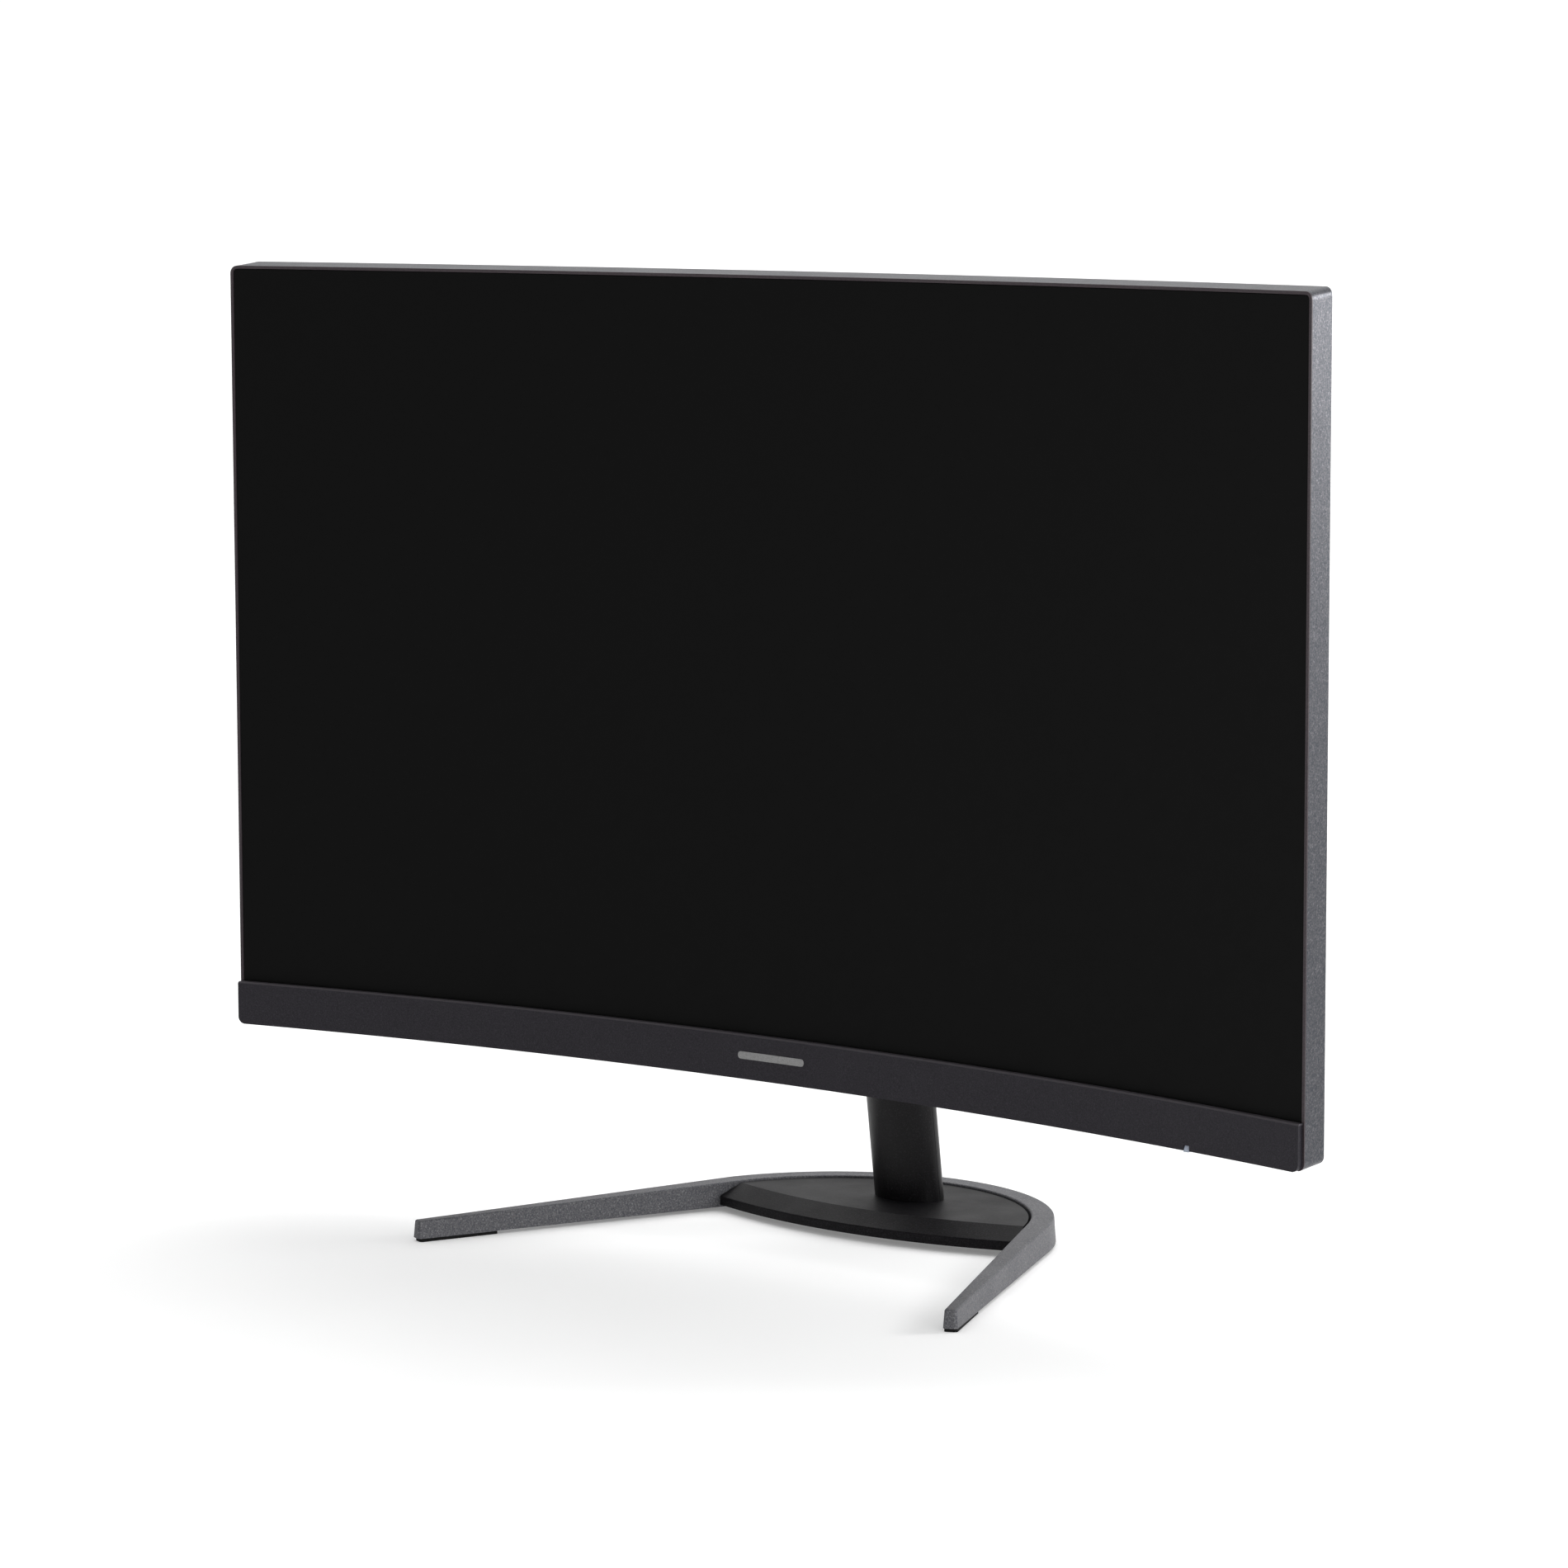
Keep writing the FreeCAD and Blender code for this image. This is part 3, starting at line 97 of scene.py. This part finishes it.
def make_world():
    """A white studio whose light comes mostly from the right rear."""
    world = bpy.data.worlds.new("studio")
    world.use_nodes = True
    tree = world.node_tree
    place = tree.nodes.new("ShaderNodeTexCoord")
    towards = tree.nodes.new("ShaderNodeVectorMath")
    towards.operation = "DOT_PRODUCT"
    towards.inputs[1].default_value = BRIGHT_WAY
    level = tree.nodes.new("ShaderNodeMapRange")
    level.inputs["From Min"].default_value = -1.0
    level.inputs["To Min"].default_value = DARK_SIDE
    level.inputs["To Max"].default_value = BRIGHT_SIDE
    lighting = tree.nodes["Background"]
    wall = tree.nodes.new("ShaderNodeBackground")
    for background in (lighting, wall):
        background.inputs["Color"].default_value = (1, 1, 1, 1)
    wall.inputs["Strength"].default_value = WALL_LIGHT
    ray = tree.nodes.new("ShaderNodeLightPath")
    mix = tree.nodes.new("ShaderNodeMixShader")
    tree.links.new(place.outputs["Generated"], towards.inputs[0])
    tree.links.new(towards.outputs["Value"], level.inputs["Value"])
    tree.links.new(level.outputs["Result"], lighting.inputs["Strength"])
    tree.links.new(ray.outputs["Is Camera Ray"], mix.inputs["Fac"])
    tree.links.new(lighting.outputs["Background"], mix.inputs[1])
    tree.links.new(wall.outputs["Background"], mix.inputs[2])
    tree.links.new(mix.outputs["Shader"], tree.nodes["World Output"].inputs["Surface"])
    bpy.context.scene.world = world


def make_ceiling():
    data = bpy.data.lights.new("ceiling", "SUN")
    data.energy = CEILING_LIGHT
    data.angle = CEILING_ANGLE
    ceiling = bpy.data.objects.new("ceiling", data)
    ceiling.rotation_euler = CEILING_TURN
    bpy.context.scene.collection.objects.link(ceiling)


def area_light(name, place, aim, size, power, beam):
    """A rectangular lamp that the camera doesn't see."""
    data = bpy.data.lights.new(name, "AREA")
    data.shape = "RECTANGLE"
    data.size, data.size_y = size
    data.energy = power
    data.spread = beam
    lamp = bpy.data.objects.new(name, data)
    lamp.location = place
    lamp.rotation_euler = (Vector(aim) - Vector(place)).to_track_quat("-Z", "Y").to_euler()
    lamp.visible_camera = False
    bpy.context.scene.collection.objects.link(lamp)


def make_light():
    make_world()
    bpy.context.scene.view_settings.view_transform = "Standard"
    make_ceiling()
    area_light("softbox", place=(0.92, 0.80, 0.66), aim=(0.30, -0.04, 0.50),
               size=(0.40, 0.50), power=1.7, beam=math.radians(60))
    area_light("low_strip", place=(1.18, -0.50, 0.10), aim=(0.0, 0.05, 0.08),
               size=(0.50, 0.16), power=1.3, beam=math.radians(120))


# ---------------------------------------------------------------- material helpers
NOISE_ROUGHNESS = 0.6
NOISE_LOW, NOISE_HIGH = 0.3, 0.7      # most of the noise lies between these
DARK_STOP, LIGHT_STOP, FLECK_STOP = 0.32, 0.58, 0.74    # the noise where each shade is full
SLOW_SHARE = 0.02                     # the slow noise's scale, as a share of the grain's
FAINT_RELIEF = (0.1, 0.1 * MM)        # strength and height
ALONG_X = (0.1, 1, 1)                 # draws the grain out along X, as brushing does


def new_material(name):
    material = bpy.data.materials.new(name)
    material.use_nodes = True
    tree = material.node_tree
    return material, tree, tree.nodes["Principled BSDF"]


def grey(value):
    return (value, value, value)


def add_noise(tree, scale, detail, stretch=(1, 1, 1)):
    """A noise texture in the object's own metres, optionally stretched along an axis."""
    place = tree.nodes.new("ShaderNodeTexCoord")
    mapping = tree.nodes.new("ShaderNodeMapping")
    mapping.inputs["Scale"].default_value = stretch
    noise = tree.nodes.new("ShaderNodeTexNoise")
    noise.inputs["Scale"].default_value = scale
    noise.inputs["Detail"].default_value = detail
    noise.inputs["Roughness"].default_value = NOISE_ROUGHNESS
    tree.links.new(place.outputs["Object"], mapping.inputs["Vector"])
    tree.links.new(mapping.outputs["Vector"], noise.inputs["Vector"])
    return noise.outputs["Fac"]


def tint(tree, noise, shader, dark, light, fleck=1.0):
    """Colours the surface between two shades, with lighter flecks where the noise peaks."""
    ramp = tree.nodes.new("ShaderNodeValToRGB")
    peak = tuple(value * fleck for value in light)
    stops = ((DARK_STOP, dark), (LIGHT_STOP, light), (FLECK_STOP, peak))
    ramp.color_ramp.elements.new(LIGHT_STOP)
    for element, (position, colour) in zip(ramp.color_ramp.elements, stops):
        element.position = position
        element.color = (*colour, 1)
    tree.links.new(noise, ramp.inputs["Fac"])
    tree.links.new(ramp.outputs["Color"], shader.inputs["Base Color"])


def vary(tree, noise, lowest, highest, socket):
    """Varies a number between two values as the noise does."""
    level = tree.nodes.new("ShaderNodeMapRange")
    level.inputs["From Min"].default_value = NOISE_LOW
    level.inputs["From Max"].default_value = NOISE_HIGH
    level.inputs["To Min"].default_value = lowest
    level.inputs["To Max"].default_value = highest
    tree.links.new(noise, level.inputs["Value"])
    tree.links.new(level.outputs["Result"], socket)


def bump(tree, noise, shader, strength, height):
    node = tree.nodes.new("ShaderNodeBump")
    node.inputs["Strength"].default_value = strength
    node.inputs["Distance"].default_value = height
    tree.links.new(noise, node.inputs["Height"])
    tree.links.new(node.outputs["Normal"], shader.inputs["Normal"])


def grained(name, dark, light, rough, grain, relief=FAINT_RELIEF, metallic=0.0, specular=0.5,
            stretch=(1, 1, 1), fleck=1.0):
    """A moulded or painted surface: fine grain in colour and relief, slower changes in gloss."""
    material, tree, shader = new_material(name)
    fine = add_noise(tree, scale=grain, detail=2.0, stretch=stretch)
    slow = add_noise(tree, scale=grain * SLOW_SHARE, detail=3.0)
    tint(tree, fine, shader, dark, light, fleck)
    vary(tree, slow, *rough, shader.inputs["Roughness"])
    bump(tree, fine, shader, *relief)
    shader.inputs["Metallic"].default_value = metallic
    shader.inputs["Specular IOR Level"].default_value = specular
    return material


def paint_highlight_band(material, start, end, colour):
    """Paints a highlight: lightens a surface above the height end, fading in from the height start."""
    tree = material.node_tree
    base = tree.nodes["Principled BSDF"].inputs["Base Color"]
    place = tree.nodes.new("ShaderNodeTexCoord")
    split = tree.nodes.new("ShaderNodeSeparateXYZ")
    highlight_mask = tree.nodes.new("ShaderNodeMapRange")
    highlight_mask.inputs["From Min"].default_value = start
    highlight_mask.inputs["From Max"].default_value = end
    mix = tree.nodes.new("ShaderNodeMixRGB")
    mix.inputs["Color2"].default_value = (*colour, 1)
    tree.links.new(place.outputs["Object"], split.inputs["Vector"])
    tree.links.new(split.outputs["Z"], highlight_mask.inputs["Value"])
    tree.links.new(highlight_mask.outputs["Result"], mix.inputs["Fac"])
    tree.links.new(base.links[0].from_socket, mix.inputs["Color1"])
    tree.links.new(mix.outputs["Color"], base)


# ---------------------------------------------------------------- materials: outside of the display
# painted highlight: a paler band along the chin's top edge stands in for the light that the rounded
# edge catches
CHIN_HIGHLIGHT_START = 0.8 * MM            # below the chin's top, as is the end
CHIN_HIGHLIGHT_END = 0.6 * MM
# the colour of the painted highlight
CHIN_HIGHLIGHT_COLOUR = (0.060, 0.055, 0.062)


def frame_metal():
    return grained("frame_metal", dark=(0.032, 0.036, 0.046), light=(0.074, 0.074, 0.081),
                   rough=(0.38, 0.46), grain=1400, relief=(0.35, 0.15 * MM),
                   metallic=0.6, specular=0.15, fleck=2.0)


def lip_plastic():
    return grained("lip_plastic", dark=(0.028, 0.021, 0.025), light=(0.046, 0.036, 0.041),
                   rough=(0.35, 0.5), grain=1800, relief=(0.15, 0.1 * MM), specular=0.2)


def chin_plastic():
    """Near-black, with a painted highlight along the chin's upper edge: a paler line that stands in
    for the light the edge catches.
    """
    material = grained("chin_plastic", dark=(0.0130, 0.0118, 0.0155), light=(0.0210, 0.0192, 0.0240),
                       rough=(0.40, 0.5), grain=1800, relief=(0.2, 0.1 * MM), specular=0.12, fleck=1.6)
    chin_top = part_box("chin_bezel")[1].z
    # paints the highlight along the chin's top edge
    paint_highlight_band(material, chin_top - CHIN_HIGHLIGHT_START, chin_top - CHIN_HIGHLIGHT_END, CHIN_HIGHLIGHT_COLOUR)
    return material


def badge_plastic():
    return grained("badge_plastic", dark=grey(0.16), light=grey(0.22), rough=(0.3, 0.4), grain=2000)


def light_pipe():
    return grained("light_pipe", dark=(0.30, 0.34, 0.42), light=(0.38, 0.42, 0.50),
                   rough=(0.2, 0.3), grain=1200)


def screen_glass():
    """A switched-off panel behind a matt coating."""
    return grained("screen_glass", dark=grey(0.0034), light=grey(0.0048), rough=(0.42, 0.5),
                   grain=5200, relief=(0.06, 0.04 * MM), specular=0.035)


def back_plastic():
    return grained("back_plastic", dark=grey(0.010), light=grey(0.018), rough=(0.5, 0.64),
                   grain=900, relief=(0.5, 0.2 * MM), specular=0.25)


def key_plastic():
    return grained("key_plastic", dark=grey(0.012), light=grey(0.018), rough=(0.35, 0.45),
                   grain=1800, relief=(0.2, 0.1 * MM), specular=0.3)


# ---------------------------------------------------------------- materials: inside the display
def film():
    return grained("film", dark=grey(0.74), light=grey(0.80), rough=(0.5, 0.6), grain=900)


def light_guide():
    return grained("light_guide", dark=(0.62, 0.72, 0.76), light=(0.70, 0.80, 0.84),
                   rough=(0.15, 0.25), grain=900)


def led_strip():
    return grained("led_strip", dark=(0.60, 0.56, 0.30), light=(0.70, 0.66, 0.40),
                   rough=(0.4, 0.5), grain=900)


def inner_plastic():
    return grained("inner_plastic", dark=grey(0.016), light=grey(0.026), rough=(0.5, 0.62),
                   grain=1400, relief=(0.2, 0.1 * MM))


def sheet_steel():
    return grained("sheet_steel", dark=grey(0.24), light=grey(0.33), rough=(0.3, 0.42),
                   grain=700, metallic=0.9, stretch=ALONG_X)


def circuit_board():
    return grained("circuit_board", dark=(0.008, 0.055, 0.022), light=(0.014, 0.085, 0.035),
                   rough=(0.3, 0.4), grain=700)


def socket_steel():
    return grained("socket_steel", dark=grey(0.26), light=grey(0.35), rough=(0.25, 0.35),
                   grain=1500, metallic=0.95)


def socket_plastic():
    return grained("socket_plastic", dark=grey(0.012), light=grey(0.018), rough=(0.4, 0.5), grain=1500)


def screw_steel():
    return grained("screw_steel", dark=grey(0.05), light=grey(0.08), rough=(0.3, 0.42),
                   grain=2000, relief=(0.15, 0.1 * MM), metallic=0.85)


def cable_flat():
    return grained("cable_flat", dark=grey(0.55), light=grey(0.62), rough=(0.45, 0.55), grain=900)


# ---------------------------------------------------------------- materials: hinge and stand
def hinge_steel():
    return grained("hinge_steel", dark=grey(0.13), light=grey(0.20), rough=(0.3, 0.4),
                   grain=1200, metallic=0.95, stretch=ALONG_X)


def neck_plastic():
    return grained("neck_plastic", dark=(0.0022, 0.0020, 0.0024), light=(0.0050, 0.0045, 0.0053),
                   rough=(0.34, 0.42), grain=1500, relief=(0.40, 0.14 * MM), specular=0.17, fleck=3.5)


def base_metal():
    return grained("base_metal", dark=(0.062, 0.064, 0.074), light=(0.124, 0.123, 0.130),
                   rough=(0.42, 0.52), grain=1400, relief=(0.4, 0.15 * MM),
                   metallic=0.12, specular=0.1, fleck=1.8)


def plate_plastic():
    return grained("plate_plastic", dark=(0.0032, 0.0030, 0.0036), light=(0.0088, 0.0082, 0.0095),
                   rough=(0.42, 0.54), grain=1500, relief=(0.45, 0.15 * MM), specular=0.08, fleck=2.6)


def pad_rubber():
    return grained("pad_rubber", dark=grey(0.006), light=grey(0.010), rough=(0.7, 0.85),
                   grain=1200, relief=(0.3, 0.2 * MM), specular=0.1)


# ---------------------------------------------------------------- painting
OUTSIDE = (frame_metal, lip_plastic, chin_plastic, badge_plastic, light_pipe, screen_glass,
           back_plastic, key_plastic)
INSIDE = (film, light_guide, led_strip, inner_plastic, sheet_steel, circuit_board, socket_steel,
          socket_plastic, screw_steel, cable_flat)
STAND = (hinge_steel, neck_plastic, base_metal, plate_plastic, pad_rubber)


def paint_nodes():
    """Gives each node the material whose function is named after the node's slot in the record."""
    made = {make.__name__: make() for make in OUTSIDE + INSIDE + STAND}
    slots = {part["node"]: part["material_slot"] for part in frame["record"]["subparts"]}
    for name, node in NODES.items():
        node.data.materials.clear()
        node.data.materials.append(made[slots[name]])


make_camera()
make_floor()
make_light()
paint_nodes()
